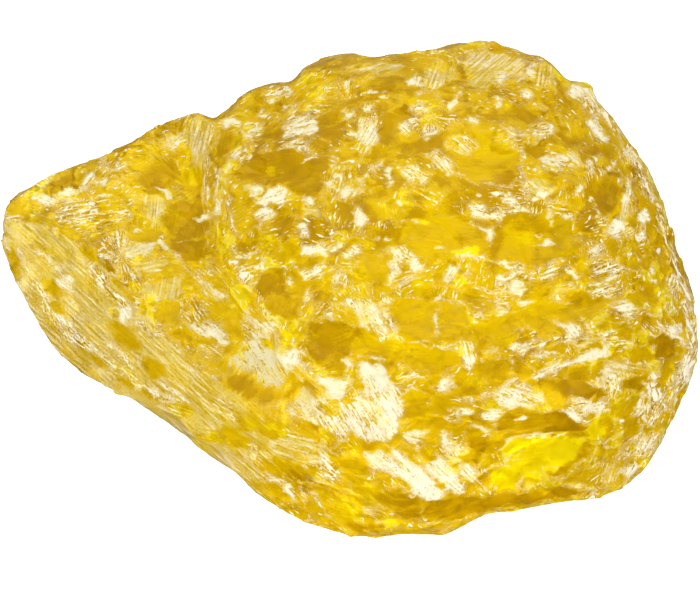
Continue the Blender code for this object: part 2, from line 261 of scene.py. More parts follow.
# Streaky pale breaks, part frost and part painted highlight
PALE_OUTLINES = (
    (-50, 86, 263, 94, 264, 106, 281, 120, 298, 130, 311, 122, 310, 108, 296, 96, 282),
    (-42, 60, 330, 75, 336, 92, 350, 82, 348, 68, 340),
    (10, 241, 126, 250, 122, 261, 124, 258, 138, 246, 137),
    (15, 282, 128, 292, 118, 318, 118, 318, 132, 300, 136, 284, 138),
    (12, 284, 144, 298, 139, 310, 145, 306, 151, 294, 150),
    (65, 357, 120, 378, 118, 382, 138, 368, 152, 360, 160, 356, 140),
    (-30, 403, 165, 412, 162, 428, 172, 426, 184, 416, 186, 405, 178),
    (-38, 441, 142, 452, 135, 462, 135, 482, 140, 475, 150, 468, 157, 456, 152, 444, 150),
    (-50, 424, 156, 440, 152, 452, 165, 448, 176, 436, 170),
    (8, 516, 136, 530, 126, 550, 122, 557, 128, 555, 136, 535, 138),
    (20, 602, 232, 612, 221, 630, 222, 632, 236, 618, 239),
    (-60, 580, 98, 592, 92, 600, 104, 604, 116, 594, 118, 586, 110),
    (25, 301, 276, 310, 268, 322, 265, 340, 262, 330, 274, 315, 280, 304, 282),
    (-55, 340, 300, 356, 298, 372, 298, 380, 312, 386, 322, 394, 338, 380, 340, 368, 332, 358, 325, 352, 312),
    (-45, 394, 243, 408, 247, 413, 258, 402, 262, 398, 272, 388, 284, 383, 282, 392, 266, 394, 256, 384, 252),
    (-42, 240, 322, 246, 314, 262, 322, 280, 322, 270, 338, 262, 342, 244, 336),
    (-40, 190, 328, 205, 322, 225, 322, 226, 336, 210, 334, 195, 340),
    (-40, 198, 345, 215, 344, 226, 356, 220, 362, 203, 356),
    (-45, 284, 412, 296, 400, 315, 396, 334, 402, 336, 414, 318, 412, 298, 418),
    (-65, 440, 432, 450, 430, 455, 445, 462, 462, 455, 464, 446, 452),
    (-24, 488, 398, 500, 386, 515, 382, 530, 386, 540, 395, 545, 405, 530, 408, 510, 408, 498, 400),
    (10, 444, 418, 450, 412, 458, 408, 462, 412, 456, 420, 448, 421),
    (15, 582, 410, 592, 404, 608, 402, 612, 412, 598, 414, 586, 414),
    (62, 690, 300, 698, 320, 697, 350, 690, 375, 676, 395, 664, 412, 652, 428, 646, 422, 662, 398, 676, 378,
     684, 360, 688, 335),
    (60, 636, 442, 650, 430, 659, 434, 652, 450, 640, 459, 633, 452),
    (20, 530, 274, 545, 265, 560, 264, 558, 276, 545, 282, 535, 280),
    (20, 590, 272, 600, 262, 622, 262, 628, 268, 618, 278, 604, 281),
    (15, 588, 252, 596, 244, 604, 248, 600, 258, 590, 260),
    (20, 584, 286, 605, 280, 625, 292, 610, 298, 590, 294),
    (10, 612, 306, 626, 300, 640, 306, 634, 316, 616, 316),
    (75, 666, 276, 676, 274, 680, 290, 674, 300, 667, 292),
    (45, 70, 192, 84, 180, 92, 172, 97, 180, 86, 190, 75, 194),
    (25, 105, 168, 118, 161, 130, 160, 124, 168, 110, 172),
    (35, 160, 146, 176, 136, 190, 134, 186, 144, 170, 150),
    (-50, 247, 446, 254, 444, 256, 456, 250, 458),
    (-30, 270, 474, 282, 478, 284, 484, 270, 482),
    (-45, 318, 450, 328, 456, 342, 478, 334, 482, 322, 470),
    (20, 515, 348, 540, 340, 570, 334, 572, 342, 545, 348, 520, 354),
    (15, 408, 376, 420, 371, 430, 374, 424, 380, 410, 381),
    (30, 432, 386, 444, 376, 456, 378, 450, 390, 436, 394),
    (20, 262, 92, 285, 84, 296, 92, 280, 100, 264, 100),
    (-15, 540, 158, 575, 150, 582, 168, 560, 174, 540, 170),
)
# The whitest breaks, the streakiest of all, part frost and part painted highlight
WHITE_OUTLINES = (
    (5, 221, 126, 225, 120, 238, 119, 238, 126, 230, 128),
    (45, 229, 158, 240, 145, 245, 150, 238, 158),
    (12, 303, 132, 308, 126, 317, 125, 317, 133, 306, 136),
    (18, 252, 202, 268, 193, 276, 187, 286, 189, 284, 197, 292, 199, 280, 203, 262, 207),
    (30, 254, 213, 262, 209, 274, 212, 268, 220, 262, 222),
    (0, 298, 226, 309, 225, 311, 237, 301, 238),
    (15, 302, 250, 308, 246, 325, 247, 340, 242, 345, 244, 330, 250, 318, 254, 306, 258),
    (-15, 342, 251, 350, 246, 359, 251, 357, 258, 346, 257),
    (62, 333, 283, 338, 272, 342, 272, 338, 284),
    (65, 304, 293, 311, 286, 310, 299, 305, 305),
    (-65, 352, 304, 360, 300, 362, 312, 368, 326, 362, 326, 356, 316),
    (-58, 368, 310, 374, 304, 382, 316, 390, 334, 382, 332, 374, 322),
    (-60, 236, 338, 244, 340, 262, 342, 265, 350, 285, 356, 292, 348, 300, 350, 302, 362, 290, 372, 280, 386,
     262, 388, 254, 376, 245, 368, 226, 368, 232, 358, 246, 352, 240, 345),
    (-45, 341, 358, 348, 358, 356, 368, 352, 370, 344, 364),
    (-58, 362, 362, 382, 364, 388, 376, 400, 392, 404, 412, 398, 424, 392, 440, 386, 442, 380, 420, 376, 405,
     368, 394, 366, 380),
    (-60, 340, 404, 358, 398, 376, 404, 382, 424, 386, 442, 368, 440, 352, 430, 342, 440, 325, 428, 310, 422,
     300, 418, 318, 413, 334, 417),
    (-40, 362, 452, 380, 451, 400, 464, 412, 474, 424, 484, 436, 492, 440, 500, 428, 500, 412, 490, 404, 480,
     388, 474, 374, 466),
    (-44, 386, 442, 398, 450, 412, 461, 426, 474, 438, 488, 442, 498, 434, 498, 420, 486, 408, 470, 396, 458),
    (-42, 430, 462, 438, 456, 446, 462, 462, 478, 466, 492, 458, 496, 446, 488, 436, 478, 428, 472),
    (-45, 458, 465, 466, 463, 475, 470, 480, 484, 488, 492, 480, 490, 468, 480, 460, 472),
    (-25, 490, 396, 500, 394, 512, 401, 520, 407, 508, 408, 498, 404),
    (0, 482, 412, 492, 408, 502, 411, 496, 419, 486, 419),
    (-15, 564, 415, 572, 413, 581, 419, 574, 421),
    (20, 532, 377, 540, 370, 556, 364, 572, 360, 582, 354, 600, 350, 602, 356, 590, 362, 572, 366, 552, 370,
     544, 377, 536, 380),
    (-70, 646, 382, 655, 385, 662, 391, 659, 402, 652, 400, 647, 392),
    (-75, 460, 344, 472, 342, 478, 350, 476, 360, 470, 369, 464, 362),
    (-50, 560, 324, 572, 322, 580, 328, 578, 336, 570, 338, 566, 330),
    (-20, 664, 330, 672, 325, 682, 323, 684, 332, 676, 336),
    (-45, 563, 266, 570, 266, 580, 276, 578, 280, 568, 272),
    (30, 408, 262, 415, 258, 421, 264, 416, 271, 410, 268),
    (60, 444, 274, 450, 264, 458, 268, 452, 278, 446, 281),
    (0, 470, 312, 479, 311, 480, 319, 473, 321),
    (0, 411, 108, 415, 103, 422, 103, 429, 110, 424, 114, 413, 113),
    (-40, 400, 126, 406, 122, 412, 130, 410, 135, 402, 133),
    (0, 466, 115, 480, 117, 480, 120, 467, 121),
    (5, 541, 159, 548, 155, 558, 157, 553, 161),
    (-20, 464, 206, 474, 201, 488, 212, 500, 213, 499, 221, 482, 219, 468, 215),
    (0, 505, 198, 514, 196, 520, 201, 514, 204),
    (80, 587, 162, 592, 157, 595, 167, 590, 171),
    (80, 546, 211, 550, 214, 554, 222, 552, 226, 547, 222),
    (-30, 639, 212, 646, 210, 652, 218, 644, 224, 640, 220),
    (0, 345, 112, 352, 109, 357, 114, 352, 120, 346, 119),
    (30, 364, 107, 370, 103, 373, 111, 366, 113),
    (-10, 344, 134, 350, 132, 360, 136, 352, 139),
    (60, 360, 128, 374, 124, 380, 136, 370, 148, 362, 140),
    (-20, 30, 197, 42, 196, 54, 200, 50, 206, 38, 206),
    (60, 621, 471, 634, 463, 639, 467, 628, 477),
    (60, 640, 444, 650, 436, 652, 442, 643, 452),
    (20, 588, 408, 598, 404, 606, 404, 600, 410),
    (78, 353, 212, 360, 208, 366, 222, 360, 226, 355, 220),
)
# Fans of fine cracks
FANNED_OUTLINES = (
    ((352, 104), 336, 80, 340, 77, 350, 80, 357, 98, 346, 101, 336, 90),
    ((431, 116), 405, 120, 430, 112, 460, 115, 456, 122, 438, 134, 425, 134, 408, 125),
    ((121, 257), 92, 246, 108, 232, 126, 232, 136, 262, 144, 290, 126, 290, 114, 262, 98, 256),
    ((307, 322), 308, 320, 322, 300, 329, 302, 331, 318, 318, 320),
    ((275, 128), 284, 118, 290, 104, 300, 102, 296, 118, 290, 130),
)
# Small bright breaks, painted glints that also get faces turned to flash the key light: the middle,
# length and width, and the turn in degrees
GLINTS = (
    (263, 113, 10, 8, 0), (310, 200, 9, 7, 0), (217, 214, 8, 7, 0), (291, 281, 8, 8, 0),
    (246, 316, 9, 7, 0), (391, 263, 14, 5, 70), (443, 383, 12, 8, 0),
    (484, 432, 22, 3, -30), (595, 129, 22, 4, -55), (606, 138, 9, 8, 0), (573, 154, 6, 5, 0),
    (659, 251, 8, 8, 0), (456, 98, 26, 3, 70), (433, 133, 14, 3, 15), (391, 178, 26, 4, 78),
    (400, 205, 14, 4, -50), (480, 196, 6, 5, 0), (524, 211, 14, 4, -40), (384, 239, 18, 5, 0),
    (446, 277, 7, 6, 0), (548, 242, 15, 4, 12), (526, 303, 18, 5, 10),
    (506, 276, 18, 3, 8), (482, 362, 10, 3, 80), (448, 345, 18, 4, 12), (436, 299, 10, 5, 35),
    (436, 322, 30, 2, 88), (506, 265, 24, 3, -15), (595, 250, 10, 7, 0), (611, 278, 14, 4, 15),
    (584, 320, 13, 3, -60), (680, 341, 16, 4, -28), (622, 420, 8, 6, 0), (650, 374, 24, 5, -60),
    (66, 194, 24, 4, 14), (102, 181, 9, 5, 20), (104, 195, 16, 3, 5), (176, 138, 24, 5, 35),
    (138, 233, 6, 6, 0), (163, 189, 16, 3, -10), (168, 195, 10, 5, -60), (202, 219, 14, 4, 20),
    (217, 212, 10, 5, 50), (157, 300, 5, 3, -60), (288, 491, 28, 3, -62),
    (233, 262, 8, 8, 0), (333, 163, 12, 4, 80), (515, 346, 12, 4, 30), (605, 350, 14, 5, 35),
    (640, 402, 20, 4, 80), (531, 72, 20, 3, 88), (500, 76, 8, 10, 0), (449, 106, 8, 8, 0),
    (528, 95, 14, 8, -20), (497, 100, 5, 10, 0), (579, 190, 18, 5, 85), (538, 198, 18, 4, 10),
    (568, 219, 14, 3, -15), (618, 226, 14, 8, 10), (336, 176, 20, 2, 40), (330, 185, 12, 2, 70),
    (345, 192, 12, 6, 40), (310, 158, 16, 4, 20), (250, 158, 14, 3, 60), (228, 168, 14, 3, 60),
    (222, 340, 16, 6, -45), (214, 332, 12, 5, -40), (300, 358, 10, 6, 70), (289, 357, 16, 9, 45),
    (316, 408, 24, 6, -45), (380, 380, 20, 6, -50), (446, 440, 20, 5, -75), (466, 412, 12, 6, 0),
    (520, 419, 12, 4, 0), (545, 355, 24, 3, 8), (530, 343, 20, 3, 25), (655, 346, 6, 4, 0),
    (412, 84, 10, 8, 60), (572, 90, 10, 8, -60), (386, 98, 30, 2, 15), (375, 92, 24, 2, 5),
    (270, 100, 8, 5, 30), (285, 108, 6, 6, 0), (440, 247, 10, 3, 20), (489, 236, 5, 14, 0),
    (484, 228, 12, 3, -20), (556, 228, 8, 4, 0), (590, 200, 6, 4, 0), (610, 168, 14, 3, 30),
    (640, 235, 10, 6, 0), (655, 280, 8, 5, 0), (640, 260, 6, 6, 0), (652, 270, 6, 4, 0),
)
# Narrow pale edges, painted highlight and reflection along rims and ridges, and dark edges, painted
# shade: half their width, and the bends of the line that they follow, in turn
PALE_BANDS = (
    (4, 604, 112, 634, 158, 663, 222, 667, 240, 673, 260, 681, 280, 687, 300, 690, 325, 692, 345),
    (3, 160, 240, 180, 262, 200, 280, 222, 297),
    (2, 207, 160, 205, 190, 207, 216), (2, 217, 160, 216, 190, 220, 214),
    (2, 224, 180, 228, 210, 232, 226, 238, 238), (2, 362, 190, 364, 178, 372, 168, 384, 162),
    (2, 465, 401, 490, 391, 518, 379), (2, 470, 222, 484, 228, 491, 232, 491, 250),
    (1, 196, 360, 210, 371, 222, 383), (3, 60, 318, 90, 345, 112, 362, 140, 385, 170, 400),
    (2, 20, 250, 30, 275, 50, 305, 62, 325), (1, 300, 488, 318, 500, 330, 516),
    (1, 303, 390, 316, 382, 320, 372), (2, 380, 305, 392, 322, 402, 342),
    (2, 228, 240, 240, 256, 262, 252), (2, 478, 256, 492, 262, 514, 268),
    (2, 35, 254, 48, 258, 58, 272, 66, 280), (2, 138, 321, 150, 330, 160, 334),
    (2, 112, 346, 124, 358, 132, 370), (2, 42, 302, 52, 318, 62, 330),
    (2, 160, 386, 178, 396, 186, 400), (3, 10, 218, 22, 216),
)
DARK_BANDS = (
    (2, 524, 480, 545, 478, 566, 470, 581, 456, 589, 442),
)

# The pale face at the lower left, part frost and part painted reflection: its upper edge, half that
# edge's blur, and from where to where it fades to the right, in pixels. Then its look, how much it
# shows, and its streaks' turn in degrees
PALE_FACE_EDGE = ((0, 212), (45, 224), (70, 238), (100, 262), (125, 296), (160, 330), (222, 384), (360, 470))
PALE_FACE_BORDER = 3
PALE_FACE_END = (230, 340)
PALE_FACE_LOOK = (0.50, 0.1, 0.12)
PALE_FACE_SHARE = 0.9
PALE_FACE_TURN = -42
PALE_FACE_NUMBER = 1

# The marks' borders: half an outline's blur, and the farthest that a mark reaches past its corners,
# in pixels, and how a spot or band fades, as shares of half its width. A mark's streaks show where
# more than this share of it is held. Noise pushes the borders about by this size, reach and seed
OUTLINE_BORDER = 2.0
FARTHEST = 8
SPOT_BORDER = (1.4, 0.5)
HELD = 0.2
RAGGED_MARKS = (0.5, 0.25, 54)
# How many pixels a fan's streaks spread for each radian
FAN_SPREAD = 20.0

# Faces that flash, along the glints: their distance, how well they are aimed and how far they turn
# from the surface at most, in degrees, and how much that surface has to face the eye
FLASH_PITCH = 0.6
FLASH_JITTER = 4
MOST_TURN = 14
FLASH_FACING = 0.08

# How much the surface has to face the eye to show in the photograph, and how little to be hidden
# from it, and how much brighter the hidden sides are
SHOWN = (-0.05, 0.15)
HIDDEN = (0.1, -0.2)
HIDDEN_GLOW = 1.0

# The look of what isn't marked. For frost and painted highlight, brightness and streaks: the mean,
# how much noise changes it, the noise's size and seed, and how much less a sunken point has, which
# paints shade into the hollows. Depth counts up to this one
PLAIN_LOOK = (
    (-0.19, 0.30, 1.6, 51, 0.14),
    (0.0, 0.35, 3.4, 52, 0.45),
    (0.40, 0.20, 1.2, 53, 0.12),
)
SUNKEN = 0.12

# Broad parts of the photograph painted lighter or darker than the rest, as painted light and shade: the
# middle, length and width, and the turn in degrees, then how much more frosted and how much brighter
# they are
BROAD_LIGHT_AND_SHADE = (
    ((420, 170, 420, 200, 0), (-0.06, -0.60)),
    ((150, 150, 160, 60, 25), (0.0, -0.45)),
    ((665, 320, 150, 460, 0), (0.14, 0.35)),
    ((590, 430, 230, 160, 0), (0.08, 0.35)),
    ((110, 370, 160, 120, -40), (0.03, 0.30)),
    ((220, 270, 160, 160, 0), (0.0, 0.45)),
)
# How much the faces of each scattered layer differ in frost and in brightness, how streaky they have
# to be to differ, and the size, reach and seed of the noise that pushes their borders about
FACE_TONES = ((0.12, 0.35), (0.10, 0.35))
TONED = (0.10, 0.40)
RAGGED_FACES = (0.6, 0.25, 63)
TONE_SEED = 62
# The streaks of the scattered breaks turn like those of the nearest mark, give or take this many
# degrees. Their patterns are numbered from here on, and repeat after so many
STREAK_TURN = 25
TURN_SEED = 61
FIRST_PATTERN = 300
PATTERNS = 97

# How the faces of the hidden sides look, and how often each look comes up by chance
HIDDEN_SHARE = 0.6
HIDDEN_LOOKS = (
    ((-0.30, 1.0, 0.28), 5),
    ((-0.35, 0.2, 0.28), 2),
    ((0.00, 1.2, 0.60), 4),
    ((0.30, 1.2, 0.60), 3),
    ((0.55, 1.2, 0.75), 3),
    ((0.35, 1.2, 0.20), 2),
)


def unit(vectors):
    return vectors / np.linalg.norm(vectors, axis=-1, keepdims=True)


def smooth_step(low, high, values):
    share = np.clip((values - low) / (high - low), 0, 1)
    return share * share * (3 - 2 * share)


def direction(azimuth, elevation):
    """Towards a place seen from the stone: azimuth 0 is the eye's side, and 90 the stone's right."""
    turn, rise = math.radians(azimuth), math.radians(elevation)
    return np.array([math.sin(turn) * math.cos(rise), -math.cos(turn) * math.cos(rise), math.sin(rise)])


def lattice_noise(points, size, seed):
    """Smooth noise between -1 and 1, from random values on a lattice of this size."""
    values = np.random.default_rng(seed).uniform(-1, 1, (LATTICE,) * 3)
    cell = np.floor(points / size).astype(int)
    share = points / size - cell
    share = share * share * (3 - 2 * share)
    total = np.zeros(len(points))
    for corner in itertools.product((0, 1), repeat=3):
        i, j, k = ((cell + corner) % LATTICE).T
        total += np.prod(np.where(corner, share, 1 - share), axis=1) * values[i, j, k]
    return total


def warped(points, size, amount, seed):
    """The points pushed about by noise, so that what is measured from them gets wavy borders."""
    pushes = [lattice_noise(points, size, seed + axis) for axis in range(3)]
    return points + amount * np.stack(pushes, axis=1)


def ball():
    """Rays over a sphere, with the edges and faces that join their ends."""
    form = bmesh.new()
    bmesh.ops.create_icosphere(form, subdivisions=BALL_LEVEL, radius=1.0)
    mesh = bpy.data.meshes.new("ball")
    form.to_mesh(mesh)
    form.free()
    rays = np.empty(len(mesh.vertices) * 3)
    mesh.vertices.foreach_get("co", rays)
    edges, faces = edges_and_faces(mesh)
    bpy.data.meshes.remove(mesh)
    return unit(rays.reshape(-1, 3)), edges, faces


def edges_and_faces(mesh):
    edges = np.empty(len(mesh.edges) * 2, dtype=int)
    mesh.edges.foreach_get("vertices", edges)
    faces = np.empty(len(mesh.polygons) * 3, dtype=int)
    mesh.polygons.foreach_get("vertices", faces)
    return edges.reshape(-1, 2), faces.reshape(-1, 3)


def cast_on_stone(rays):
    """The outermost point of the CAD stone along each ray, in mm."""
    stone = BVHTree.FromObject(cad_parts["topaz_stone"], bpy.context.evaluated_depsgraph_get())
    share = (rays[:, :1] + 1) / 2
    starts = SPINE[0] * (1 - share) + SPINE[1] * share
    outside = (starts + rays * OUTSIDE) * MM
    points = starts.copy()
    for index, (place, ray) in enumerate(zip(outside, rays, strict=True)):
        hit = stone.ray_cast(Vector(place), Vector(-ray))[0]
        if hit is not None:
            points[index] = np.array(hit) / MM
    return points


def smoothed(values, edges, passes):
    """Each value moved half way to the mean of its neighbours, a number of times."""
    here, there = np.concatenate([edges, edges[:, ::-1]]).T
    neighbours = np.bincount(here)[:, None]
    for _ in range(passes):
        sums = np.stack([np.bincount(here, weights=column[there]) for column in values.T], axis=1)
        values = (values + sums / neighbours) / 2
    return values


def normals_of(points, faces):
    a, b, c = points[faces[:, 0]], points[faces[:, 1]], points[faces[:, 2]]
    across = np.cross(b - a, c - a)
    total = np.zeros_like(points)
    for corner in faces.T:
        for axis in range(3):
            total[:, axis] += np.bincount(corner, weights=across[:, axis], minlength=len(points))
    return unit(total)


def tree_of(places):
    tree = KDTree(len(places))
    for index, place in enumerate(places):
        tree.insert(place, index)
    tree.balance()
    return tree


def nearest_of(places, points):
    """Which of the places lies nearest to each point."""
    tree = tree_of(places)
    return np.array([tree.find(point)[1] for point in points])


def turned(pixels, middle, turn):
    """How far each pixel lies along and across a line through the middle, up being positive."""
    turn = math.radians(turn)
    right, up = pixels[:, 0] - middle[0], middle[1] - pixels[:, 1]
    return right * math.cos(turn) + up * math.sin(turn), up * math.cos(turn) - right * math.sin(turn)


def gap_to(pixels, one, other):
    """How far each pixel lies from the line between two points."""
    side, away = other - one, pixels - one
    share = np.clip(away @ side / (side @ side), 0, 1)
    return np.linalg.norm(away - share[:, None] * side, axis=1)


def in_spot(pixels, spot):
    """How much of each pixel lies in an oval spot."""
    *middle, length, width, turn = spot
    along, across = turned(pixels, middle, turn)
    return smooth_step(*SPOT_BORDER, np.hypot(along / length, across / width) * 2)


def in_outline(pixels, outline):
    """The same for an outline."""
    corners = np.reshape(outline[1:], (-1, 2)).astype(float)
    gap = np.full(len(pixels), np.inf)
    inside = np.zeros(len(pixels), dtype=bool)
    for one, other in zip(corners, np.roll(corners, -1, axis=0), strict=True):
        gap = np.minimum(gap, gap_to(pixels, one, other))
        right, down = other - one
        crossing = (one[1] > pixels[:, 1]) != (other[1] > pixels[:, 1])
        reach = one[0] + (pixels[:, 1] - one[1]) * right / (down or 1)
        inside ^= crossing & (pixels[:, 0] < reach)
    return smooth_step(-OUTLINE_BORDER, OUTLINE_BORDER, np.where(inside, gap, -gap))


def in_band(pixels, band):
    """The same for a band along a bent line."""
    half, *bends = band
    reach = np.full(len(pixels), np.inf)
    for one, other in itertools.pairwise(np.reshape(bends, (-1, 2)).astype(float)):
        reach = np.minimum(reach, gap_to(pixels, one, other) / half)
    return smooth_step(*SPOT_BORDER, reach)


def spot_of(spot):
    """A spot's outermost points, the middle of its streaks and their turn."""
    x, y, length, _, turn = spot
    return [(x - length, y - length), (x + length, y + length)], (x, y), turn


def outline_of(outline):
    """The same for an outline. The middle of a fan is the point that it spreads from."""
    corners = np.reshape(outline[1:], (-1, 2))
    if isinstance(outline[0], tuple):
        return corners, outline[0], None
    return corners, corners.mean(axis=0), outline[0]


def band_of(band):
    """The same for a band."""
    corners = np.reshape(band[1:], (-1, 2))
    right, down = corners[-1] - corners[0]
    return corners, corners[0], math.degrees(math.atan2(-down, right))


def streaks_of(pixels, middle, turn):
    """Where each pixel lies along and across its streaks, in mm."""
    if turn is None:
        right, up = pixels[:, 0] - middle[0], middle[1] - pixels[:, 1]
        place = np.hypot(right, up), np.arctan2(up, right) * FAN_SPREAD
    else:
        place = turned(pixels, middle, turn)
    return np.column_stack(place) / PIXELS_PER_MM


# How each kind is measured and looks: how frosted and whitened by painted highlight it is, how
# bright its gold, with painted light and shade, and how streaky. The later kinds lie over the earlier
# ones
SPOT, OUTLINE, BAND = (in_spot, spot_of), (in_outline, outline_of), (in_band, band_of)
KINDS = (
    (CALM_OUTLINES, OUTLINE, (-0.30, 0.0, 0.28)),
    (DARK_OUTLINES, OUTLINE, (-0.40, -1.0, 0.28)),
    (WINDOW_OUTLINES, OUTLINE, (0.02, 1.75, 0.28)),
    (LIT_OUTLINES, OUTLINE, (0.20, 0.5, 0.28)),
    (PATCH_OUTLINES, OUTLINE, (0.20, 0.1, 0.12)),
    (VEILED_OUTLINES, OUTLINE, (0.46, 0.2, 0.20)),
    (GRAINY_OUTLINES, OUTLINE, (0.08, 0.0, 0.55)),
    (PALE_OUTLINES, OUTLINE, (0.38, 0.3, 0.60)),
    (PALE_BANDS, BAND, (0.42, 0.1, 0.50)),
    (FANNED_OUTLINES, OUTLINE, (0.12, -0.2, 0.90)),
    (CREAM_OUTLINES, OUTLINE, (0.60, 0.2, 0.25)),
    (WHITE_OUTLINES, OUTLINE, (0.78, 0.8, 0.85)),
    (GLINTS, SPOT, (0.85, 0.6, 0.60)),
    (DARK_BANDS, BAND, (-0.35, -0.8, 0.20)),
)

# The hollows with bright rims, painted highlights along their edges, how much those whiten at most,
# and the size, seed and levels of the noise that breaks the rims up
RIMMED = (CALM_OUTLINES, DARK_OUTLINES, WINDOW_OUTLINES)
RIM_HIGHLIGHT = 0.6
RIM_NOISE = (1.2, 57)
RIM_LEVELS = (-0.2, 0.3)


def plain_looks(points, sunken):
    looks = np.empty((len(points), 3))
    sunken = np.clip(sunken / SUNKEN, -1, 1)
    for column, (mean, change, size, seed, less) in enumerate(PLAIN_LOOK):
        # Sunken points get less brightness and less white: painted shade in the hollows
        looks[:, column] = mean + change * lattice_noise(points, size, seed) - less * sunken
    return looks


def in_pale_face(pixels):
    edge_x, edge_y = np.array(PALE_FACE_EDGE).T
    lower = pixels[:, 1] - np.interp(pixels[:, 0], edge_x, edge_y)
    share = smooth_step(-PALE_FACE_BORDER, PALE_FACE_BORDER, lower)
    return share * smooth_step(*PALE_FACE_END[::-1], pixels[:, 0])


def lay_marks(looks, points, pixels, facing):
    """Lays the marks over the looks, and gives each point's place in its streaks, if any."""
    straight = pixels_of(points)
    share = in_pale_face(pixels) * facing * PALE_FACE_SHARE
    looks += share[:, None] * (np.array(PALE_FACE_LOOK) - looks)
    place = streaks_of(straight, (0, 0), PALE_FACE_TURN)
    place = np.insert(place, 2, PALE_FACE_NUMBER, axis=1)
    streaks = np.where(share[:, None] > HELD, place, 0)
    rims = RIM_HIGHLIGHT * smooth_step(*RIM_LEVELS, lattice_noise(points, *RIM_NOISE))
    number = PALE_FACE_NUMBER
    for marks, (measure, ends_of), look in KINDS:
        for mark in marks:
            number += 1
            ends, middle, turn = ends_of(mark)
            low, high = np.min(ends, axis=0) - FARTHEST, np.max(ends, axis=0) + FARTHEST
            near = np.nonzero(((pixels > low) & (pixels < high)).all(axis=1))[0]
            share = measure(pixels[near], mark) * facing[near]
            looks[near] += share[:, None] * (np.array(look) - looks[near])
            # Painted highlights along the rims of the hollows
            if marks in RIMMED:
                looks[near, 0] += 4 * share * (1 - share) * rims[near]
            held = near[share > HELD]
            place = streaks_of(straight[held], middle, turn)
            streaks[held] = np.insert(place, 2, number, axis=1)
    return streaks


def look_at(points, normals, sunken):
    """How frosted and whitened by painted highlight, how bright in painted light and shade, and how streaky
    each point is, and its place in its streaks, if any.
    """
    looks = plain_looks(points, sunken)
    looks[:, 1] += HIDDEN_GLOW * smooth_step(*HIDDEN, normals @ TO_EYE)
    facing = smooth_step(*SHOWN, normals @ TO_EYE)
    front = np.nonzero(facing > 0)[0]
    pixels = pixels_of(warped(points, *RAGGED_MARKS))[front]
    shown, facing = looks[front], facing[front]
    # Painted light and shade over broad parts of the stone
    for part, change in BROAD_LIGHT_AND_SHADE:
        shown[:, :2] += np.outer(in_spot(pixels, part) * facing, change)
    streaks = np.zeros((len(points), 3))
    streaks[front] = lay_marks(shown, points[front], pixels, facing)
    looks[front] = shown
    return looks, streaks


def flash_normal():
    """How a face has to lie to throw the key light into the eye."""
    azimuth, elevation = MIRRORED_LIGHTS[KEY_LIGHT][:2]
    return unit(TO_EYE + direction(azimuth, elevation))


def turned_to_flash(normals):
    """The normals turned towards where the key light flashes in them, as far as they may turn."""
    flash = flash_normal()
    angle = np.arccos(np.clip(normals @ flash, -1, 1))
    aim = np.maximum(angle - math.radians(MOST_TURN), 0)
    aside = unit(normals - flash * (normals @ flash)[:, None] + 1e-9)
    return flash * np.cos(aim)[:, None] + aside * np.sin(aim)[:, None]


def slopes_of(normals, faces):
    """How fast a face rises from the surface along each axis, for the normals of both."""
    lying = (faces * normals).sum(1)[:, None]
    return (normals * lying - faces) / lying


class Breaks:
    """One layer of breaks: a middle for each, and how its face tilts, hollows and lifts."""

    def __init__(self, points, roughness, layer, chance):
        self.spacing, self.stretch, tilt, hollow, self.waviness = layer
        count = int(STONE_AREA / self.spacing**2)
        chosen = chance.choice(len(points), count, replace=False)
        share = roughness[chosen]
        self.middles = points[chosen]
        self.slopes = chance.normal(0, tilt, (count, 3)) * share[:, None]
        self.hollows = hollow * share
        self.lifts = chance.normal(0, LIFT * self.spacing, count) * share

    def add_flashes(self, points, normals, chance):
        """Adds faces that flash, along the bright breaks of the photograph."""
        front = np.nonzero(normals @ TO_EYE > FLASH_FACING)[0]
        tree = tree_of(np.column_stack([pixels_of(points[front]), np.zeros(len(front))]))
        found = []
        for x, y, length, _, turn in GLINTS:
            turn = math.radians(turn)
            steps = int(length / PIXELS_PER_MM / FLASH_PITCH / 2)
            for step in range(-steps, steps + 1):
                along = step * FLASH_PITCH * PIXELS_PER_MM
                place = (x + along * math.cos(turn), y - along * math.sin(turn), 0)
                found.append(tree.find(place)[1])
        index = front[np.unique(found)]
        faces = turned_to_flash(normals[index])
        faces = unit(faces + chance.normal(0, math.radians(FLASH_JITTER), faces.shape))
        self.middles = np.concatenate([self.middles, points[index]])
        self.slopes = np.concatenate([self.slopes, slopes_of(normals[index], faces)])
        self.hollows = np.concatenate([self.hollows, np.zeros(len(index))])
        self.lifts = np.concatenate([self.lifts, np.zeros(len(index))])


def break_up(points, breaks, seed):
    """How far out a layer of breaks moves each point."""
    squeeze = np.array([1 / breaks.stretch, 1.0, 1.0])
    tree = tree_of(breaks.middles * squeeze)
    wave = breaks.waviness * breaks.spacing
    fine_size, fine_push = FINE_WAVES
    moved = warped(points, breaks.spacing, wave, seed)
    moved = warped(moved, breaks.spacing * fine_size, wave * fine_push, seed + 5) * squeeze
    nearest = np.empty((len(points), 2), dtype=int)
    gap = np.empty((len(points), 2))
    for index, place in enumerate(moved):
        (_, first, near), (_, second, far) = tree.find_n(place, 2)
        nearest[index] = first, second
        gap[index] = near, far
    offset = np.zeros(len(points))
    most = MOST_RISE * breaks.spacing
    border = 0.5 * smooth_step(0, BREAK_BORDER * breaks.spacing, gap[:, 1] - gap[:, 0])
    for rank, weight in ((0, 0.5 + border), (1, 0.5 - border)):
        cell = nearest[:, rank]
        away = points - breaks.middles[cell]
        rise = (away * breaks.slopes[cell]).sum(1) + breaks.lifts[cell]
        rise += breaks.hollows[cell] * (away**2).sum(1) / breaks.spacing
        offset += weight * np.clip(rise, -most, most)
    return offset


def set_attribute(mesh, name, values):
    attribute = mesh.attributes.new(name, "FLOAT_VECTOR", "POINT")
    attribute.data.foreach_set("vector", values.ravel())


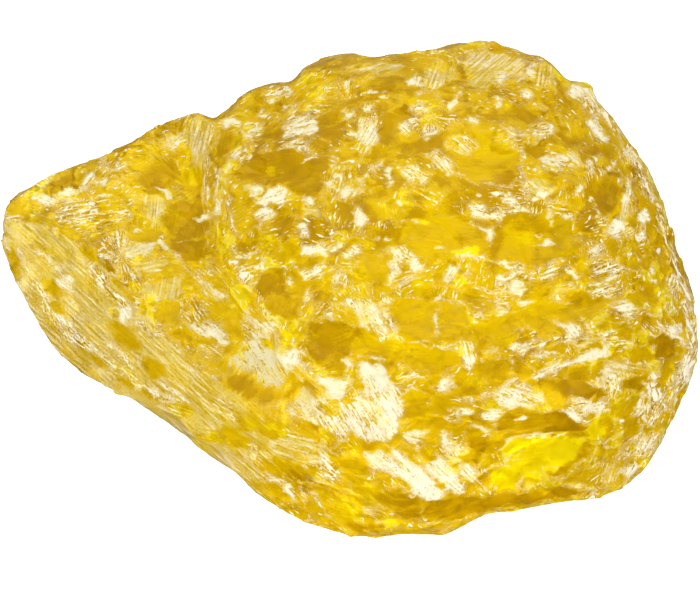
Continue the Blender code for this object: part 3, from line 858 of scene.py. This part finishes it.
def mesh_of(points, faces):
    mesh = bpy.data.meshes.new("stone")
    mesh.vertices.add(len(points))
    mesh.vertices.foreach_set("co", (points * MM).ravel())
    mesh.loops.add(faces.size)
    mesh.loops.foreach_set("vertex_index", faces.ravel())
    mesh.polygons.add(len(faces))
    mesh.polygons.foreach_set("loop_start", np.arange(0, faces.size, 3))
    mesh.update(calc_edges=True)
    mesh.validate()
    return mesh


def surface_of(points, edges, faces):
    """The surface's normals, and its looks and streaks before any chance."""
    normals = normals_of(smoothed(points, edges, NORMAL_PASSES), faces)
    broad = smoothed(points, edges, BROAD_PASSES)
    sunken = ((broad - points) * normals).sum(1)
    return normals, *look_at(points, normals, sunken)


def build_stone():
    rays, edges, faces = ball()
    points = smoothed(cast_on_stone(rays), edges, SMOOTH_PASSES)
    chance = np.random.default_rng(SCATTER_SEED)
    free = smooth_step(*OVER_FLOOR, points[:, 2])
    layers = []
    for number, layer in enumerate(SCATTERED):
        normals, looks, _ = surface_of(points, edges, faces)
        breaks = Breaks(points, smooth_step(*BROKEN, looks[:, 2]), layer, chance)
        layers.append(breaks.middles)
        if number == len(SCATTERED) - 1:
            breaks.add_flashes(points, normals, chance)
        offset = break_up(points, breaks, SCATTER_SEED + 10 * number)
        rim = RIM_SHARE + (1 - RIM_SHARE) * smooth_step(*RIM_SLANT, np.abs(normals @ TO_EYE))
        points = points + normals * (offset * free * rim)[:, None]
        points[:, 2] = np.maximum(points[:, 2], 0)
    stone = bpy.data.objects.new("stone", mesh_of(points, faces))
    bpy.context.scene.collection.objects.link(stone)
    thin_out(stone)
    paint(stone.data, layers)
    return stone


def thin_out(stone):
    modifier = stone.modifiers.new("thin_out", "DECIMATE")
    modifier.ratio = MOST_TRIANGLES / len(stone.data.polygons)
    thinned = stone.evaluated_get(bpy.context.evaluated_depsgraph_get())
    stone.data = bpy.data.meshes.new_from_object(thinned)
    stone.modifiers.clear()
    stone.data.shade_smooth()
    stone.data.set_sharp_from_angle(angle=SHARP_ANGLE)


def vary(looks, points, normals, layers):
    """Gives each scattered break a tone of its own, and on the hidden sides a look of its own."""
    tones = np.random.default_rng(TONE_SEED)
    varied = smooth_step(*TONED, looks[:, 2])[:, None]
    hidden = HIDDEN_SHARE * smooth_step(*HIDDEN, normals @ TO_EYE)[:, None]
    kinds = np.array([look for look, _ in HIDDEN_LOOKS])
    often = np.array([times for _, times in HIDDEN_LOOKS])
    ragged = warped(points, *RAGGED_FACES)
    for middles, amounts in zip(layers, FACE_TONES, strict=True):
        cell = nearest_of(middles, ragged)
        looks[:, :2] += (tones.normal(0, 1, (len(middles), 2)) * amounts)[cell] * varied
        chosen = tones.choice(len(kinds), len(middles), p=often / often.sum())
        looks += hidden * (kinds[chosen][cell] - looks)


def scattered_streaks(points, normals, middles):
    """Where each point lies in the streaks of the nearest scattered break."""
    marks = [outline_of(outline) for outline in PALE_OUTLINES + WHITE_OUTLINES]
    near = nearest_of([(x, y, 0) for _, (x, y), _ in marks], [(x, y, 0) for x, y in pixels_of(middles)])
    turns = np.array([turn for _, _, turn in marks])[near]
    chance = np.random.default_rng(TURN_SEED)
    turns = turns + chance.uniform(-STREAK_TURN, STREAK_TURN, len(turns))
    cell = nearest_of(middles, points)
    turn = np.radians(turns[cell])[:, None]
    forward = ACROSS_VIEW * np.cos(turn) + UP_IN_VIEW * np.sin(turn)
    aside = unit(np.cross(normals, forward))
    away = points - middles[cell]
    pattern = FIRST_PATTERN + cell % PATTERNS
    return np.column_stack([(away * forward).sum(1), (away * aside).sum(1), pattern])


def paint(mesh, layers):
    """Sets how each vertex looks, and where it lies in its streaks: along, across and which."""
    points = np.empty(len(mesh.vertices) * 3)
    mesh.vertices.foreach_get("co", points)
    points = points.reshape(-1, 3) / MM
    normals, looks, streaks = surface_of(points, *edges_and_faces(mesh))
    vary(looks, points, normals, layers)
    scattered = scattered_streaks(points, normals, layers[0])
    set_attribute(mesh, "look", looks)
    set_attribute(mesh, "streaks", np.where(streaks[:, 2:] > 0, streaks, scattered))


class Nodes:
    """Adds shader nodes to a material, each with its settings and inputs."""

    def __init__(self, material):
        material.use_nodes = True
        self.tree = material.node_tree
        self.shader = self.tree.nodes["Principled BSDF"]
        self.output = self.tree.nodes["Material Output"]

    def plug(self, socket, value):
        if isinstance(value, bpy.types.NodeSocket):
            self.tree.links.new(value, socket)
        else:
            socket.default_value = value

    def add(self, kind, inputs, **settings):
        node = self.tree.nodes.new(kind)
        for name, value in settings.items():
            setattr(node, name, value)
        for name, value in inputs.items():
            self.plug(node.inputs[name], value)
        return node

    def attribute(self, name):
        return self.add("ShaderNodeAttribute", {}, attribute_name=name).outputs["Vector"]

    def scaled(self, vector, steps):
        return self.add("ShaderNodeVectorMath", {0: vector, 1: steps}, operation="MULTIPLY").outputs[0]

    def noise(self, vector, scale, detail, rough):
        inputs = {"Vector": vector, "Scale": scale, "Detail": detail, "Roughness": rough}
        return self.add("ShaderNodeTexNoise", inputs).outputs["Fac"]

    def maths(self, operation, *values):
        return self.add("ShaderNodeMath", dict(enumerate(values)), operation=operation).outputs[0]

    def sum_of(self, total, *values):
        for value in values:
            total = self.maths("ADD", total, value)
        return total

    def product(self, one, other):
        return self.maths("MULTIPLY", one, other)

    def centred(self, noise, amount):
        """The noise less its mean, times an amount."""
        return self.product(self.maths("SUBTRACT", noise, 0.5), amount)

    def line_at(self, noise, level, amount):
        """Thin lines where the noise comes near a level."""
        gap = self.maths("ABSOLUTE", self.maths("SUBTRACT", noise, level))
        return self.product(self.ramp(gap, *LINE_EDGES), amount)

    def ramp(self, value, low, high, to_low=0.0, to_high=1.0):
        inputs = {"Value": value, 1: low, 2: high, 3: to_low, 4: to_high}
        node = self.add("ShaderNodeMapRange", inputs, interpolation_type="SMOOTHSTEP")
        return node.outputs["Result"]

    def mix(self, share, one, other):
        inputs = {"Factor": share, 6: one, 7: other}
        return self.add("ShaderNodeMix", inputs, data_type="RGBA").outputs[2]


# The crystal: its golds, dark where shade is painted and bright where light is painted, and the cream
# of its frost and painted highlights, what holds for all of it, and its absorption, whose density is
# for each metre
DARK_GOLD = (0.29, 0.125, 0.001, 1.0)
GOLD = (0.585, 0.335, 0.002, 1.0)
BRIGHT_GOLD = (0.98, 0.87, 0.03, 1.0)
CREAM = (0.95, 0.93, 0.85, 1.0)
CRYSTAL = {
    "Roughness": 0.30,
    "IOR": 1.62,
    "Specular Tint": (1.0, 0.92, 0.35, 1.0),
    "Coat Weight": 0.2,
    "Coat Roughness": 0.06,
    "Coat IOR": 1.62,
}
ABSORPTION = {"Color": (0.994, 0.99, 0.0, 1.0), "Density": 200.0}
BUMP_DEPTH = 0.014

# Its noises: the steps for each mm along and across the streaks, then scale, detail and roughness
STREAK_STEPS = (0.5, 7.0, 1.0)
FLECK_STEPS = (1.8, 6.0, 1.0)
LINE_STEPS = (0.6, 2.2, 1.0)
STREAK_NOISE = (1.0, 4.0, 0.8)
FLECK_NOISE = (1.0, 1.0, 0.6)
LINE_NOISE = (1.0, 1.0, 0.5)
SPECKLE_NOISE = (8.0, 1.0, 0.6)
CLOUD_NOISE = (0.9, 1.0, 0.6)
# How much the streaks and speckles whiten the frost with painted highlights and glints, and how much
# streaks, clouds and dark lines change the gold: the streaks paint gleams, the dark lines paint shadow
# lines
STREAKING = 7.0
SPECKLING = 2.4
GLEAMING = 7.2
CLOUDING = 1.2
DARKENING = -1.5
# The lines' levels in their noise: the white lines are painted highlights, the dark lines painted
# shadows. Then ramps: where each begins and ends, and what it gives there if that isn't 0 and 1
WHITE_LINE = 0.50
DARK_LINE = 0.46
LINE_EDGES = (0.0, 0.02, 2.5, 0.0)
LINED_FROST_AND_HIGHLIGHT = (-0.10, 0.25)
LINED_STREAKS = (0.15, 0.60, 0.0, 0.6)
FLECKS = (0.60, 0.68, 0.0, 1.1)
FLECKED_STREAKS = (0.25, 0.45)
WHITE = (0.2, 0.8)
TO_GOLD = (-1.1, 0.1)
TO_BRIGHT_GOLD = (0.3, 1.6)
CLEAR = (0.0, 1.0, 1.0, 0.25)


def topaz_material():
    material = bpy.data.materials.new("topaz")
    nodes = Nodes(material)
    look = nodes.attribute("look")
    # The look's first part whitens the surface, as frost and as painted highlight, and its second sets how
    # bright the gold is, with painted light and shade
    frost_and_highlight, glow, streaky = nodes.add("ShaderNodeSeparateXYZ", {0: look}).outputs
    place = nodes.attribute("streaks")
    here = nodes.scaled(nodes.add("ShaderNodeTexCoord", {}).outputs["Object"], (1 / MM,) * 3)
    streaks = nodes.noise(nodes.scaled(place, STREAK_STEPS), *STREAK_NOISE)
    flecks = nodes.noise(nodes.scaled(place, FLECK_STEPS), *FLECK_NOISE)
    bend = nodes.noise(nodes.scaled(place, LINE_STEPS), *LINE_NOISE)
    speckles = nodes.noise(here, *SPECKLE_NOISE)
    clouds = nodes.noise(here, *CLOUD_NOISE)
    lined = nodes.product(nodes.ramp(frost_and_highlight, *LINED_FROST_AND_HIGHLIGHT), nodes.ramp(streaky, *LINED_STREAKS))
    # Thin painted highlight lines and painted shadow lines beside the ledges
    white_line = nodes.line_at(bend, WHITE_LINE, lined)
    dark_line = nodes.line_at(bend, DARK_LINE, lined)
    streaking = nodes.product(streaky, nodes.centred(streaks, STREAKING))
    speckling = nodes.product(streaky, nodes.centred(speckles, SPECKLING))
    # Painted sparkle highlights from the flecks
    sparkling = nodes.product(nodes.ramp(flecks, *FLECKS), nodes.ramp(streaky, *FLECKED_STREAKS))
    whiteness = nodes.sum_of(frost_and_highlight, streaking, white_line, speckling, sparkling)
    white = nodes.ramp(whiteness, *WHITE)
    # Painted gleams along the streaks brighten the gold
    gleaming = nodes.product(streaky, nodes.centred(streaks, GLEAMING))
    clouding = nodes.centred(clouds, CLOUDING)
    darkening = nodes.product(dark_line, DARKENING)
    brightness = nodes.sum_of(glow, gleaming, clouding, speckling, darkening)
    gold = nodes.mix(nodes.ramp(brightness, *TO_GOLD), DARK_GOLD, GOLD)
    gold = nodes.mix(nodes.ramp(brightness, *TO_BRIGHT_GOLD), gold, BRIGHT_GOLD)
    height = nodes.product(streaks, streaky)
    inputs = {"Strength": 1.0, "Distance": BUMP_DEPTH * MM, "Height": height}
    bump = nodes.add("ShaderNodeBump", inputs).outputs["Normal"]
    colour = nodes.mix(white, gold, CREAM)
    clear = nodes.ramp(white, *CLEAR)
    inputs = {"Base Color": colour, "Transmission Weight": clear, "Normal": bump, "Coat Normal": bump}
    for name, value in (inputs | CRYSTAL).items():
        nodes.plug(nodes.shader.inputs[name], value)
    absorption = nodes.add("ShaderNodeVolumeAbsorption", ABSORPTION).outputs["Volume"]
    nodes.plug(nodes.output.inputs["Volume"], absorption)
    return material


def make_floor():
    form = bmesh.new()
    bmesh.ops.create_circle(form, cap_ends=True, segments=FLOOR_SIDES, radius=FLOOR_RADIUS * MM)
    mesh = bpy.data.meshes.new("floor")
    form.to_mesh(mesh)
    form.free()
    floor = bpy.data.objects.new("floor", mesh)
    floor.location.z = -FLOOR_GAP * MM
    material = bpy.data.materials.new("floor")
    nodes = Nodes(material)
    for name, value in FLOOR_LOOK.items():
        nodes.plug(nodes.shader.inputs[name], value)
    mesh.materials.append(material)
    floor.visible_glossy = False
    bpy.context.scene.collection.objects.link(floor)


def make_world():
    world = bpy.data.worlds.new("studio")
    world.use_nodes = True
    background = world.node_tree.nodes["Background"]
    background.inputs["Color"].default_value = LIGHT_WHITE
    background.inputs["Strength"].default_value = WORLD_LIGHT
    world.cycles_visibility.glossy = False
    bpy.context.scene.world = world


def soft_light(name, place, mirrored):
    """A square soft light that shows only mirrored in the stone, or only through it."""
    azimuth, elevation, half_angle, radiance = place
    towards = direction(azimuth, elevation)
    side = 2 * LIGHT_DISTANCE * math.tan(math.radians(half_angle)) * MM
    light = bpy.data.lights.new(name, "AREA")
    light.shape = "SQUARE"
    light.size = side
    light.energy = radiance * math.pi * side * side
    lamp = bpy.data.objects.new(name, light)
    lamp.location = Vector(towards * LIGHT_DISTANCE * MM)
    lamp.rotation_euler = Vector(-towards).to_track_quat("-Z", "Y").to_euler()
    lamp.visible_camera = False
    lamp.visible_diffuse = False
    lamp.visible_glossy = mirrored
    lamp.visible_transmission = not mirrored
    bpy.context.scene.collection.objects.link(lamp)


def seen_from(points, aim, distance):
    """The pixels where an eye this far from the aim sees the points, for points in metres."""
    away = aim + TO_EYE * distance - points
    scale = LENS / SENSOR * PHOTO_SIZE[0] / (away @ TO_EYE)
    x = PHOTO_SIZE[0] / 2 - (away @ ACROSS_VIEW) * scale
    y = PHOTO_SIZE[1] / 2 + (away @ UP_IN_VIEW) * scale
    return np.column_stack([x, y])


def find_eye():
    """The aim and distance from which the stone fills the frame as it does the photograph's."""
    corners = np.array([vertex.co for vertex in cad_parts["topaz_stone"].data.vertices])
    middle = np.array([sum(STONE_SIDES), sum(STONE_TOP_AND_FOOT)]) / 2
    aim, distance = corners.mean(axis=0), 1.0
    for _ in range(FIT_ROUNDS):
        low = seen_from(corners, aim, distance).min(axis=0)
        high = seen_from(corners, aim, distance).max(axis=0)
        right, down = (low + high) / 2 - middle
        per_pixel = distance * SENSOR / LENS / PHOTO_SIZE[0]
        aim = aim + (ACROSS_VIEW * right - UP_IN_VIEW * down) * per_pixel
        distance *= (high[0] - low[0]) / (STONE_SIDES[1] - STONE_SIDES[0])
    return aim, distance


def pixels_of(points):
    return seen_from(points * MM, EYE_AIM, EYE_DISTANCE)


def make_camera():
    lens = bpy.data.cameras.new("camera")
    lens.lens = LENS
    lens.sensor_width = SENSOR
    lens.clip_start, lens.clip_end = CLIP_METRES
    camera = bpy.data.objects.new("camera", lens)
    camera.location = Vector(EYE_AIM + TO_EYE * EYE_DISTANCE)
    camera.rotation_euler = Vector(-TO_EYE).to_track_quat("-Z", "Y").to_euler()
    bpy.context.scene.collection.objects.link(camera)
    bpy.context.scene.camera = camera


def set_render():
    scene = bpy.context.scene
    scene.view_settings.view_transform = "Standard"
    scene.cycles.max_bounces = MOST_BOUNCES
    scene.cycles.transmission_bounces = MOST_BOUNCES
    scene.cycles.glossy_bounces = MOST_BOUNCES
    scene.cycles.diffuse_bounces = DIFFUSE_BOUNCES
    scene.cycles.sample_clamp_indirect = MOST_INDIRECT
    scene.cycles.use_denoising = True


# Where the eye stands, in metres, and how large a mm is in the photograph
EYE_AIM, EYE_DISTANCE = find_eye()
PIXELS_PER_MM = LENS / SENSOR * PHOTO_SIZE[0] / EYE_DISTANCE * MM
stone = build_stone()
stone.data.materials.append(topaz_material())
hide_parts("topaz_stone")
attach(stone, "root")
make_floor()
make_world()
for name, place in MIRRORED_LIGHTS.items():
    soft_light(name, place, True)
for name, place in THROUGH_LIGHTS.items():
    soft_light(name, place, False)
make_camera()
set_render()
